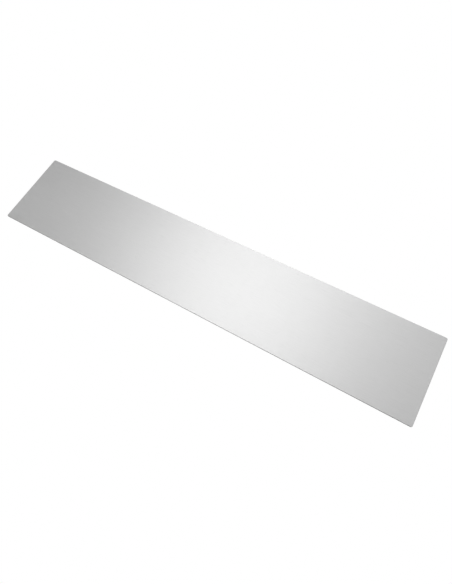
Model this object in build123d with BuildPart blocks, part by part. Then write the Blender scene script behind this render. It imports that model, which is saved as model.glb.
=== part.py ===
from build123d import *

import os

# Door kick plate with no screw holes: one flat brushed plate, held to the door by foam tape.
# Seven strips of double-sided tape sit on the plate's back, two long rails with five uprights
# between them, and a release liner covers each strip until the plate is fitted.
#
# Millimetres. +X runs along the plate, +Z up the door and +Y into the door. The origin is the
# middle of the plane that meets the door, the back of the liners. The show face looks along -Y.

INCH = 25.4

# Plate
plate_length = 32 * INCH
plate_height = 6 * INCH
plate_thickness = INCH / 16
corner_radius = 3.0
edge_break = 0.25  # leg of the chamfer that eases the show face's edge

# Double-sided foam tape
tape_width = 0.75 * INCH
tape_thickness = 1.1
bare_edge = INCH / 8  # metal left uncovered between the tape and the plate's edge
uprights_between_ends = 3

# Release liners
liner_thickness = 0.13
finger_lift = INCH / 8  # how far a liner stands past one long side of its tape, to be picked up
liner_gap = 1.5  # between a rail's liner and the ends of the uprights

# Everything stacks up from the door, and offsets of an XZ plane run towards the front.
liner_plane = Plane.XZ
tape_plane = liner_plane.offset(liner_thickness)
plate_plane = tape_plane.offset(tape_thickness)

# Where the strips lie on the plate's back
rail_length = plate_length - 2 * bare_edge
rail_offset = plate_height / 2 - bare_edge - tape_width / 2
upright_length = 2 * (rail_offset - tape_width / 2 - finger_lift - liner_gap)
end_offset = plate_length / 2 - bare_edge - tape_width / 2
upright_pitch = 2 * end_offset / (uprights_between_ends + 1)


def make_plate():
    """The plate, with rounded corners and an eased edge round its show face alone."""
    with BuildPart() as plate:
        with BuildSketch(plate_plane):
            RectangleRounded(plate_length, plate_height, corner_radius)
        extrude(amount=plate_thickness)
        show_face = plate.faces().sort_by(Axis.Y)[0]
        chamfer(show_face.edges(), edge_break)
    plate.part.label = "face_plate"
    export_step(plate.part, "parts/face_plate.step")


def make_strip(name, middle, length, turn):
    """One strip of tape and its liner.

    middle is the tape's own centre, and turn swings the strip from lying along +X. The liner's
    finger lift is then on the strip's left-hand side.
    """
    place = Location((*middle, 0), (0, 0, turn))

    with BuildPart() as tape:
        with BuildSketch(tape_plane * place):
            Rectangle(length, tape_width)
        extrude(amount=tape_thickness)
    tape.part.label = f"tape_{name}"
    export_step(tape.part, f"parts/tape_{name}.step")

    with BuildPart() as liner:
        with BuildSketch(liner_plane * place):
            with Locations((0, finger_lift / 2)):
                Rectangle(length, tape_width + finger_lift)
        extrude(amount=liner_thickness)
    liner.part.label = f"liner_{name}"
    export_step(liner.part, f"parts/liner_{name}.step")


os.makedirs("parts", exist_ok=True)

make_plate()

# Every finger lift faces the inside of the frame that the strips make.
make_strip("lower_rail", (0, -rail_offset), rail_length, 0)
make_strip("upper_rail", (0, rail_offset), rail_length, 180)

upright_names = ["left_end", "left_middle", "centre", "right_middle", "right_end"]
for number, name in enumerate(upright_names):
    x = number * upright_pitch - end_offset
    turn = 90 if x > 0 else -90
    make_strip(name, (x, 0), upright_length, turn)
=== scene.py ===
import math

import bmesh
import bpy
from mathutils import Matrix, Vector


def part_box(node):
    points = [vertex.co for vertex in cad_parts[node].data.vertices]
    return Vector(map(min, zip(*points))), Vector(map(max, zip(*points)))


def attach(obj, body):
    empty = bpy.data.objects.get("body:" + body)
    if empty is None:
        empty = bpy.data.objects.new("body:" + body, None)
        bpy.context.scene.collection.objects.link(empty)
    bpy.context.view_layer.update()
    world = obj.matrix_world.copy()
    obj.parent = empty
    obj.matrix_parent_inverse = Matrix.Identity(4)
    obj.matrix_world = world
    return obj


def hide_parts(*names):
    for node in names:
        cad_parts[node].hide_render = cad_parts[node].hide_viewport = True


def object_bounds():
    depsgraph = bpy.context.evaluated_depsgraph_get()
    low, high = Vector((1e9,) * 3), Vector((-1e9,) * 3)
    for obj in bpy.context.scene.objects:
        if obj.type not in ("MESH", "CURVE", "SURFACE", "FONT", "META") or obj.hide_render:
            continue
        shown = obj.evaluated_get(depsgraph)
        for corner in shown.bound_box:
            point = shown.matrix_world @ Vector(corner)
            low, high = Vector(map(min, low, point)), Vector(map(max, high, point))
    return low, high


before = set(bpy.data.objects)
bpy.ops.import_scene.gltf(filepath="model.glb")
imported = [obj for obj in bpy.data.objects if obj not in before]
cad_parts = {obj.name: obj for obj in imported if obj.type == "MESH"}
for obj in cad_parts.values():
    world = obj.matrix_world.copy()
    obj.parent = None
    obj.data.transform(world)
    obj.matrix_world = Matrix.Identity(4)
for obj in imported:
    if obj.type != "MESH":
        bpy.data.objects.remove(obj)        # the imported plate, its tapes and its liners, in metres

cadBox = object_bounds()
strips = [node[len("tape_"):] for node in sorted(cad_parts) if node.startswith("tape_")]
print("loaded", len(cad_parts), "CAD nodes and", len(strips), "tape strips")


def addPrimitive(name, adder, low, high, **options):
    # a unit primitive, stretched to fill the box from low to high, with its place in its mesh
    bpy.ops.object.select_all(action="DESELECT")
    adder(location=(low + high) / 2, **options)
    piece = bpy.context.object
    piece.name = piece.data.name = name
    piece.dimensions = high - low
    bpy.ops.object.transform_apply(location=True, rotation=True, scale=True)
    return piece


def pick(kind, wanted):
    # in edit mode, selects only the vertices, edges or faces that pass a test
    bpy.ops.mesh.select_mode(type=kind)
    bpy.ops.mesh.select_all(action="DESELECT")
    mesh = bpy.context.object.data
    cage = bmesh.from_edit_mesh(mesh)
    parts = {"VERT": cage.verts, "EDGE": cage.edges, "FACE": cage.faces}[kind]
    for part in parts:
        if wanted(part):
            part.select_set(True)
    cage.select_flush_mode()
    bmesh.update_edit_mesh(mesh)


def runsAlong(axis):
    # a test for edges that lie along one axis: 0 is X, 1 is Y and 2 is Z
    def test(edge):
        run = edge.verts[1].co - edge.verts[0].co
        return abs(run[axis]) > 0.999 * run.length
    return test


def addModifier(piece, kind, **settings):
    # adds a modifier and applies it straight away
    modifier = piece.modifiers.new(kind, kind)
    for name, value in settings.items():
        setattr(modifier, name, value)
    bpy.context.view_layer.objects.active = piece
    bpy.ops.object.modifier_apply(modifier=modifier.name)


def makeActive(piece):
    bpy.ops.object.select_all(action="DESELECT")
    piece.select_set(True)
    bpy.context.view_layer.objects.active = piece


def smooth(piece, degrees):
    makeActive(piece)
    bpy.ops.object.shade_smooth_by_angle(angle=math.radians(degrees))


def copyPiece(piece, name, move):
    makeActive(piece)
    bpy.ops.object.duplicate()
    copied = bpy.context.object
    copied.name = copied.data.name = name
    copied.location = move
    bpy.ops.object.transform_apply(location=True, rotation=True, scale=True)
    return copied


class Wire:
    # an output socket that can stand in Python sums: each operator adds a Math node
    def __init__(self, graph, socket):
        self.graph = graph
        self.socket = socket

    def maths(self, operation, first, second):
        return self.graph.node("ShaderNodeMath", {"operation": operation}, {0: first, 1: second})

    def __add__(self, other):
        return self.maths("ADD", self, other)

    def __radd__(self, other):
        return self.maths("ADD", other, self)

    def __sub__(self, other):
        return self.maths("SUBTRACT", self, other)

    def __rsub__(self, other):
        return self.maths("SUBTRACT", other, self)

    def __mul__(self, other):
        return self.maths("MULTIPLY", self, other)

    def __rmul__(self, other):
        return self.maths("MULTIPLY", other, self)


class Graph:
    # a node tree, and the one method that adds a node to it
    def __init__(self, tree):
        self.tree = tree

    def feed(self, socket, value):
        if isinstance(value, Wire):
            self.tree.links.new(value.socket, socket)
        else:
            socket.default_value = value

    def node(self, kind, settings={}, inputs={}, output=0):
        made = self.tree.nodes.new(kind)
        for name, value in settings.items():
            if name == "stops":
                while len(made.color_ramp.elements) < len(value):
                    made.color_ramp.elements.new(0.5)
                for element, (position, shade) in zip(made.color_ramp.elements, value):
                    element.position = position
                    element.color = (shade, shade, shade, 1.0)
            else:
                setattr(made, name, value)
        for name, value in inputs.items():
            self.feed(made.inputs[name], value)
        return Wire(self, made.outputs[output])


class Finish(Graph):
    # one material, with its Principled shader
    def __init__(self, name, **fixed):
        self.material = bpy.data.materials.new(name)
        self.material.use_nodes = True
        super().__init__(self.material.node_tree)
        self.shader = self.tree.nodes["Principled BSDF"]
        self.place = self.node("ShaderNodeTexCoord", output="Object")
        self.surface(**fixed)

    def noise(self, cell, detail=2.0, roughness=0.5):
        # noise whose cells are about that long in X, Y and Z, in metres
        scale = [1 / size for size in cell]
        spread = self.node("ShaderNodeMapping", {}, {"Vector": self.place, "Scale": scale})
        return self.node("ShaderNodeTexNoise", {}, {"Vector": spread, "Scale": 1.0, "Detail": detail,
                                                    "Roughness": roughness}, "Fac")

    def ramp(self, value, *stops):
        # each stop is a position and the grey there
        return self.node("ShaderNodeValToRGB", {"stops": stops}, {"Fac": value}, "Color")

    def blend(self, share, first, second):
        # a colour between two others: a Mix node's colour sockets are 6 and 7, and its colour output is 2
        return self.node("ShaderNodeMix", {"data_type": "RGBA"},
                         {"Factor": share, 6: (*first, 1), 7: (*second, 1)}, 2)

    def bump(self, height, depth):
        return self.node("ShaderNodeBump", {}, {"Height": height, "Distance": depth, "Strength": 1.0},
                         "Normal")

    def surface(self, **inputs):
        # sets or links the shader's inputs, with _ for the spaces in their names
        for name, value in inputs.items():
            self.feed(self.shader.inputs[name.replace("_", " ")], value)
        return self.material


# the show face, brushed along its length
brushedSteel = {
    "dark": (0.46, 0.46, 0.46),
    "bright": (0.66, 0.66, 0.66),
    "roughness": 0.54,
    "anisotropy": 0.52,
    "hairline": (0.045, 1.0, 0.00022),    # cell of the finest scratches
    "scratch": (0.018, 1.0, 0.00045),     # cell of the few deeper ones
    "streak": (0.40, 1.0, 0.0016),        # cell of the longer bands left by the belt
    "haze": (0.16, 1.0, 0.07),            # cell of the faint uneven sheen
    "scratchDepth": 0.000006,
}


def makeBrushedSteel():
    finish = Finish("brushedSteel", Metallic=1.0, Anisotropic=brushedSteel["anisotropy"],
                    Anisotropic_Rotation=0.25)
    hairline = finish.noise(brushedSteel["hairline"], detail=3.0, roughness=0.6)
    scratch = finish.ramp(finish.noise(brushedSteel["scratch"], detail=2.0), (0.60, 0.0), (0.72, 1.0))
    streak = finish.noise(brushedSteel["streak"], detail=2.0)
    haze = finish.noise(brushedSteel["haze"], detail=2.0)
    shade = 0.78 * hairline + 0.12 * streak + 0.10 * haze - 0.16 * scratch
    roughness = (brushedSteel["roughness"] + 0.16 * (hairline - 0.5) + 0.04 * (streak - 0.5)
                 + 0.03 * (haze - 0.5) + 0.05 * scratch)
    return finish.surface(
        Base_Color=finish.blend(shade, brushedSteel["dark"], brushedSteel["bright"]),
        Roughness=roughness,
        Normal=finish.bump(hairline + 0.5 * streak - 0.6 * scratch, brushedSteel["scratchDepth"]))


# the cut edges, dull grey, darkened further as painted shade for the line along the plate's lower edge
cutEdgeAndShade = {
    # these greys are partly the dull cut steel and partly painted shade
    "dark": (0.14, 0.14, 0.14),
    "bright": (0.28, 0.28, 0.28),
    "roughness": 0.42,
    "scoring": (0.00025, 0.004, 0.00025),   # cell of the marks that the shear leaves across the thickness
    "wander": (0.02, 0.02, 0.02),
    "markDepth": 0.00001,
}


def makeCutEdgeAndShade():
    finish = Finish("cutEdgeAndShade", Metallic=1.0)
    scoring = finish.noise(cutEdgeAndShade["scoring"], detail=2.0)
    wander = finish.noise(cutEdgeAndShade["wander"], detail=2.0)
    return finish.surface(
        Base_Color=finish.blend(0.6 * scoring + 0.4 * wander, cutEdgeAndShade["dark"], cutEdgeAndShade["bright"]),
        Roughness=cutEdgeAndShade["roughness"] + 0.25 * (scoring - 0.5) + 0.15 * (wander - 0.5),
        Normal=finish.bump(scoring, cutEdgeAndShade["markDepth"]))


# the back, as it left the mill
millBack = {
    "dark": (0.36, 0.36, 0.36),
    "bright": (0.60, 0.60, 0.60),
    "roughness": 0.36,
    "anisotropy": 0.3,
    "rollLine": (0.9, 1.0, 0.0007),     # cell of the lines that the mill's rolls leave
    "grain": (0.006, 1.0, 0.0012),
    "cloud": (0.10, 1.0, 0.05),
    "lineDepth": 0.000004,
}


def makeMillBack():
    finish = Finish("millBack", Metallic=1.0, Anisotropic=millBack["anisotropy"],
                    Anisotropic_Rotation=0.25)
    rollLine = finish.noise(millBack["rollLine"], detail=2.0)
    grain = finish.noise(millBack["grain"], detail=3.0, roughness=0.6)
    cloud = finish.noise(millBack["cloud"], detail=4.0, roughness=0.6)
    shade = 0.35 * rollLine + 0.25 * grain + 0.4 * cloud
    roughness = (millBack["roughness"] + 0.10 * (rollLine - 0.5) + 0.08 * (grain - 0.5)
                 + 0.20 * (cloud - 0.5))
    return finish.surface(
        Base_Color=finish.blend(shade, millBack["dark"], millBack["bright"]),
        Roughness=roughness,
        Normal=finish.bump(rollLine + 0.6 * grain, millBack["lineDepth"]))


# the tape
foam = {
    "dark": (0.095, 0.097, 0.10),
    "bright": (0.17, 0.172, 0.176),
    "roughness": 0.86,
    "specular": 0.3,
    "bubble": 0.00035,
    "mottle": (0.003, 0.003, 0.003),
    "bubbleDepth": 0.0001,
}


def makeFoam():
    finish = Finish("foam", Specular_IOR_Level=foam["specular"])
    bubbles = finish.node("ShaderNodeTexVoronoi", {},
                          {"Vector": finish.place, "Scale": 1 / foam["bubble"]}, "Distance")
    mottle = finish.noise(foam["mottle"], detail=3.0)
    return finish.surface(
        Base_Color=finish.blend(0.6 * bubbles + 0.4 * mottle, foam["dark"], foam["bright"]),
        Roughness=foam["roughness"] + 0.12 * (mottle - 0.5),
        Normal=finish.bump(bubbles, foam["bubbleDepth"]))


# the tape's red release liners
film = {
    "deep": (0.40, 0.010, 0.012),
    "pale": (0.60, 0.034, 0.030),
    "roughness": 0.38,
    "coat": 0.40,
    "coatRoughness": 0.12,
    "ior": 1.5,
    "emboss": 0.0010,          # spacing of the diamond emboss
    "slack": (0.03, 0.03, 0.012),
    "smear": (0.012, 0.012, 0.012),
    "embossDepth": 0.00003,
    "slackDepth": 0.00016,     # the film's own looseness on the tape
}


def makeFilm():
    finish = Finish("linerFilm", Coat_Roughness=film["coatRoughness"], IOR=film["ior"])
    bands = math.pi / 10 / film["emboss"]      # a Wave texture repeats every pi / 10 at scale 1
    diamonds = []
    for turn in (45, -45):
        turned = finish.node("ShaderNodeMapping", {},
                             {"Vector": finish.place, "Rotation": (0, math.radians(turn), 0)})
        diamonds.append(finish.node("ShaderNodeTexWave", {"wave_type": "BANDS", "bands_direction": "X"},
                                    {"Vector": turned, "Scale": bands}, "Fac"))
    emboss = diamonds[0] * diamonds[1]
    slack = finish.noise(film["slack"], detail=2.0)
    smear = finish.noise(film["smear"], detail=4.0, roughness=0.6)
    height = emboss * film["embossDepth"] + slack * film["slackDepth"]
    return finish.surface(
        Base_Color=finish.blend(0.75 * smear + 0.25 * emboss, film["deep"], film["pale"]),
        Roughness=film["roughness"] + 0.16 * (smear - 0.5),
        Coat_Weight=film["coat"] + 0.4 * (slack - 0.5),
        Normal=finish.bump(height, 1.0))


brushedMaterial = makeBrushedSteel()
edgeAndShadeMaterial = makeCutEdgeAndShade()
backMaterial = makeMillBack()
foamMaterial = makeFoam()
filmMaterial = makeFilm()
print("made the finishes")


plateShape = {
    "cornerRadius": 0.003,
    "cornerSteps": 10,
    "frontArris": 0.0004,      # the eased edge round the show face
    "backArris": 0.00008,      # the shear's burr, knocked off
    "arrisSteps": 3,
    "border": 0.0015,          # ring of narrow faces that keeps the flat face's shading flat
}


def meets(firstWay, secondWay):
    # a test for edges between a face that points one way in Y and one that points another
    def test(edge):
        ways = [face.normal.y for face in edge.link_faces]
        return any(firstWay(way) for way in ways) and any(secondWay(way) for way in ways)
    return test


def isCutOrBottomShade(face):
    # faces that take the dark edge finish: the cut edges, and the eased edge along the bottom as painted
    # shade; elsewhere the eased edge keeps the brushed finish
    return abs(face.normal.y) < 0.1 or face.normal.z < -0.2


def makePlate():
    low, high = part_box("face_plate")
    plate = addPrimitive("facePlate", bpy.ops.mesh.primitive_cube_add, low, high)
    bpy.ops.object.mode_set(mode="EDIT")
    pick("EDGE", runsAlong(1))
    bpy.ops.mesh.bevel(offset=plateShape["cornerRadius"], segments=plateShape["cornerSteps"], affect="EDGES")
    pick("EDGE", meets(lambda way: way < -0.9, lambda way: abs(way) < 0.1))
    bpy.ops.mesh.bevel(offset=plateShape["frontArris"], segments=plateShape["arrisSteps"], affect="EDGES")
    pick("EDGE", meets(lambda way: way > 0.9, lambda way: abs(way) < 0.1))
    bpy.ops.mesh.bevel(offset=plateShape["backArris"], segments=1, affect="EDGES")
    pick("FACE", lambda face: abs(face.normal.y) > 0.999)
    bpy.ops.mesh.inset(thickness=plateShape["border"])
    for material in (brushedMaterial, edgeAndShadeMaterial, backMaterial):
        plate.data.materials.append(material)
    # slot 1 holds the dark edge finish, which also paints shade along the bottom of the eased edge
    for index, wanted in ((1, isCutOrBottomShade), (2, lambda face: face.normal.y > 0.5)):
        pick("FACE", wanted)
        plate.active_material_index = index
        bpy.ops.object.material_slot_assign()
    bpy.ops.object.mode_set(mode="OBJECT")
    smooth(plate, 35)
    addModifier(plate, "WEIGHTED_NORMAL", keep_sharp=True)
    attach(plate, "root")
    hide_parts("face_plate")
    return plate


makePlate()
print("made the plate")


tapeShape = {
    "step": 0.005,           # distance between the cross cuts
    "rows": 3,               # cuts through the thickness
    "pinch": 0.00014,        # how far the cut sides are drawn in at mid thickness
    "ragged": 0.00006,       # how far the knife wandered
    "softEdge": 0.00005,
}

linerShape = {
    "step": 0.0035,
    "columns": 13,           # cuts across the width
    "sink": 0.00055,         # how far the loose margin can sink towards the plate
    "rippleSize": 0.014,
}

ripples = bpy.data.textures.new("ripples", "CLOUDS")
ripples.noise_scale = linerShape["rippleSize"]
ripples.noise_depth = 1


def longAxis(node):
    low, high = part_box(node)
    return 0 if high.x - low.x > high.z - low.z else 2


def middleOf(node):
    low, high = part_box(node)
    return (low + high) / 2


def cutAlong(axis, cuts):
    pick("EDGE", runsAlong(axis))
    bpy.ops.mesh.subdivide(number_cuts=cuts)


def inCutSide(node):
    # a test for vertices in the tape's two long sides, clear of its sticky faces
    low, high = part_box(node)
    across = 2 - longAxis(node)
    def test(vert):
        inFoam = abs(vert.co.y - middleOf(node).y) < 0.35 * (high.y - low.y)
        return inFoam and abs(vert.co[across] - middleOf(node)[across]) > 0.4 * (high[across] - low[across])
    return test


def makeTape(strip):
    node = "tape_" + strip
    low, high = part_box(node)
    along, across = longAxis(node), 2 - longAxis(node)
    tape = addPrimitive("foamTape_" + strip, bpy.ops.mesh.primitive_cube_add, low, high)
    tape.data.materials.append(foamMaterial)
    bpy.ops.object.mode_set(mode="EDIT")
    cutAlong(along, round((high[along] - low[along]) / tapeShape["step"]))
    cutAlong(1, tapeShape["rows"])
    pick("VERT", inCutSide(node))
    squeeze = [1, 1, 1]
    squeeze[across] = 1 - 2 * tapeShape["pinch"] / (high[across] - low[across])
    bpy.ops.transform.resize(value=squeeze, center_override=middleOf(node))
    bpy.ops.object.mode_set(mode="OBJECT")
    return tape


def makeLiner(strip):
    node = "liner_" + strip
    low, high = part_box(node)
    along, across = longAxis(node), 2 - longAxis(node)
    liner = addPrimitive("releaseLiner_" + strip, bpy.ops.mesh.primitive_cube_add, low, high)
    liner.data.materials.append(filmMaterial)
    bpy.ops.object.mode_set(mode="EDIT")
    cutAlong(along, round((high[along] - low[along]) / linerShape["step"]))
    cutAlong(across, linerShape["columns"])
    bpy.ops.object.mode_set(mode="OBJECT")
    return liner


def raggedSides(tape, node, seed):
    makeActive(tape)
    bpy.ops.object.mode_set(mode="EDIT")
    pick("VERT", inCutSide(node))
    bpy.ops.transform.vertex_random(offset=tapeShape["ragged"], normal=1.0, seed=seed)
    bpy.ops.object.mode_set(mode="OBJECT")
    addModifier(tape, "BEVEL", width=tapeShape["softEdge"], segments=2, limit_method="ANGLE",
                angle_limit=math.radians(50))
    smooth(tape, 50)


def sinkLooseMargin(liner, node, tapeNode):
    # the margin past the tape has nothing under it, so it ripples and sinks a little towards the plate
    across = 2 - longAxis(node)
    isHigh = int(middleOf(node)[across] > middleOf(tapeNode)[across])
    tapeEdge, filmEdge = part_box(tapeNode)[isHigh][across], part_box(node)[isHigh][across]
    loose = liner.vertex_groups.new(name="loose")
    for vert in liner.data.vertices:
        share = (vert.co[across] - tapeEdge) / (filmEdge - tapeEdge)
        if share > 0:
            loose.add([vert.index], share ** 1.5, "REPLACE")
    addModifier(liner, "DISPLACE", texture=ripples, texture_coords="GLOBAL", direction="Y",
                vertex_group="loose", mid_level=0.0, strength=-linerShape["sink"])
    liner.vertex_groups.clear()
    smooth(liner, 40)


# one rail and one upright are modelled, and the other strips are copies of them
tapes, liners, modelled = {}, {}, {}
for strip in strips:
    first = modelled.setdefault(longAxis("tape_" + strip), strip)
    if first == strip:
        tapes[strip], liners[strip] = makeTape(strip), makeLiner(strip)
    else:
        tapes[strip] = copyPiece(tapes[first], "foamTape_" + strip,
                                 middleOf("tape_" + strip) - middleOf("tape_" + first))
        liners[strip] = copyPiece(liners[first], "releaseLiner_" + strip,
                                  middleOf("liner_" + strip) - middleOf("liner_" + first))

for seed, strip in enumerate(strips):
    raggedSides(tapes[strip], "tape_" + strip, seed)
    sinkLooseMargin(liners[strip], "liner_" + strip, "tape_" + strip)
    for piece, node, slot in ((tapes[strip], "tape_" + strip, "foam_tape"),
                              (liners[strip], "liner_" + strip, "release_liner")):
        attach(piece, "root")
        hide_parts(node)
print("made", len(strips), "tapes and their liners")


cameraShape = {
    "place": (0.2608, -0.6660, -0.2357),
    "aim": (0.0602, -0.0028, -0.0168),
    "roll": 31.54,       # degrees
    "lens": 26.2,        # millimetres
}


def makeCamera():
    bpy.ops.object.camera_add(location=cameraShape["place"])
    camera = bpy.context.object
    camera.data.lens = cameraShape["lens"]
    looking = (Vector(cameraShape["aim"]) - camera.location).to_track_quat("-Z", "Y").to_matrix()
    camera.rotation_euler = (looking @ Matrix.Rotation(math.radians(cameraShape["roll"]), 3, "Z")).to_euler()
    bpy.context.scene.camera = camera


floorShape = {
    "size": 12.0,
    "gap": 0.0001,       # keeps the floor clear of the plate's lower edge
    "colour": (0.90, 0.90, 0.90, 1),
    "roughness": 0.8,
    "fadeFrom": 0.5,     # distances from the middle between which the floor fades out
    "fadeTo": 2.2,
}


def makeFloor():
    # the floor is solid from above and clear from below, where the camera looks up at the plate
    low = cadBox[0]
    bpy.ops.mesh.primitive_plane_add(size=floorShape["size"], location=(0, 0, low.z - floorShape["gap"]))
    floor = bpy.context.object
    floor.name = "floor"
    finish = Finish("floorPaint", Base_Color=floorShape["colour"], Roughness=floorShape["roughness"])
    below = finish.node("ShaderNodeNewGeometry", output="Backfacing")
    distance = finish.node("ShaderNodeVectorMath", {"operation": "LENGTH"}, {0: finish.place}, "Value")
    faded = finish.node("ShaderNodeMapRange", {"interpolation_type": "SMOOTHSTEP"},
                        {"Value": distance, "From Min": floorShape["fadeFrom"],
                         "From Max": floorShape["fadeTo"]})
    clear = finish.node("ShaderNodeBsdfTransparent", {}, {"Color": (1, 1, 1, 1)})
    paint = Wire(finish, finish.shader.outputs[0])
    oneSided = finish.node("ShaderNodeMixShader", {}, {0: 1 - (1 - below) * (1 - faded), 1: paint, 2: clear})
    finish.feed(finish.tree.nodes["Material Output"].inputs["Surface"], oneSided)
    floor.data.materials.append(finish.material)


lightShapes = {
    "keySoftbox": {"place": (-0.37, -1.80, 0.40), "aim": (0.04, 0, 0), "size": (1.2, 1.0), "power": 13.2},
    "topSoftbox": {"place": (0, -0.9, 2.3), "aim": (0, 0, 0), "size": (2.4, 2.4), "power": 18},
    "backSoftbox": {"place": (-1.4, 1.9, 1.3), "aim": (0, 0, 0), "size": (1.4, 1.4), "power": 22},
}


def makeLights():
    for name, light in lightShapes.items():
        bpy.ops.object.light_add(type="AREA", location=light["place"])
        lamp = bpy.context.object
        lamp.name = name
        lamp.data.shape = "RECTANGLE"
        lamp.data.size, lamp.data.size_y = light["size"]
        lamp.data.energy = light["power"]
        lamp.rotation_euler = (Vector(light["aim"]) - lamp.location).to_track_quat("-Z", "Y").to_euler()


# how bright the world is to the camera, and how bright the room that the metal mirrors is at each end
surroundings = {"backdrop": 1.0, "leftWall": 0.45, "rightWall": 0.78}


def makeWorld():
    world = bpy.data.worlds.new("studio")
    world.use_nodes = True
    bpy.context.scene.world = world
    studio = Graph(world.node_tree)
    way = studio.node("ShaderNodeTexCoord", output="Generated")
    side = studio.node("ShaderNodeSeparateXYZ", {}, {"Vector": way}, "X")
    room = studio.node("ShaderNodeMapRange", {},
                       {"Value": side, "From Min": -1, "To Min": surroundings["leftWall"],
                        "To Max": surroundings["rightWall"]})
    seen = studio.node("ShaderNodeLightPath", output="Is Camera Ray")
    level = studio.node("ShaderNodeMix", {},
                        {"Factor": seen, "A": room, "B": surroundings["backdrop"]}, "Result")
    background = studio.tree.nodes["Background"]
    studio.feed(background.inputs["Color"], (1, 1, 1, 1))
    studio.feed(background.inputs["Strength"], level)


makeCamera()
makeFloor()
makeLights()
makeWorld()
bpy.context.scene.view_settings.view_transform = "Standard"
print("set the stage")
